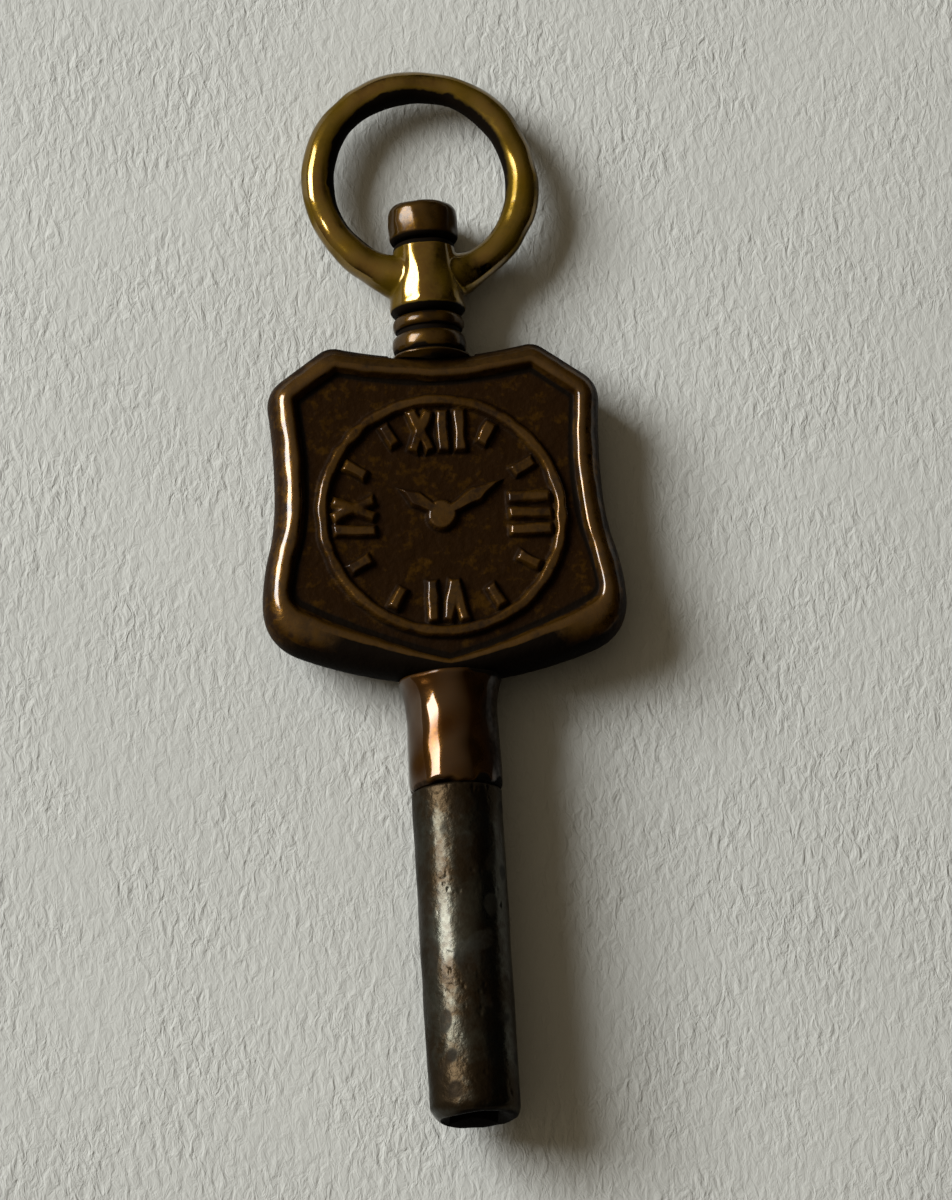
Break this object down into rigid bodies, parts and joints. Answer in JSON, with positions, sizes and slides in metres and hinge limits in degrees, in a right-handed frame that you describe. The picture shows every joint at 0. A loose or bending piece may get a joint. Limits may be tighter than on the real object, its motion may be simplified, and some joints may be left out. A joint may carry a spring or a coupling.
{
  "type": "pocket watch winding key",
  "caption": "Flat pocket-watch winding key: a struck brass shield with raised rims and a dial in relief, a waisted ferrule and steel pipe with a square socket, and a ring bow that swivels on a pin.",
  "frame": {"origin": "centre of the pipe's mouth, on the key's axis", "axes": "the key lies flat: +Y runs along its axis from the mouth to the bow, +X across the shield, +Z out of the shield's front"},
  "size_m": [0.013, 0.0387, 0.0036],
  "materials": {
    "pipe_steel": "worn grey-brown steel, lightly pitted",
    "ferrule_copper_brass": "coppery brass, worn smooth",
    "shield_bronze": "struck brass with a dark red-brown patina and rubbed edges",
    "neck_brass": "turned brass with a brown patina",
    "pin_bronze": "turned brass with a brown patina",
    "bow_brass": "hand-filed yellow brass, olive with age and rubbed bright"
  },
  "bodies": {
    "key": {"pipe": "pipe_steel", "ferrule": "ferrule_copper_brass", "shield_body": "shield_bronze", "neck": "neck_brass", "swivel_pin": "pin_bronze"},
    "bow": {"bow": "bow_brass"}
  },
  "joints": [
    {"name": "bow_swivel", "type": "hinge", "parent": "key", "child": "bow", "pos_m": [0, 0.0306, 0], "axis": [0, 1, 0], "continuous": true}
  ]
}
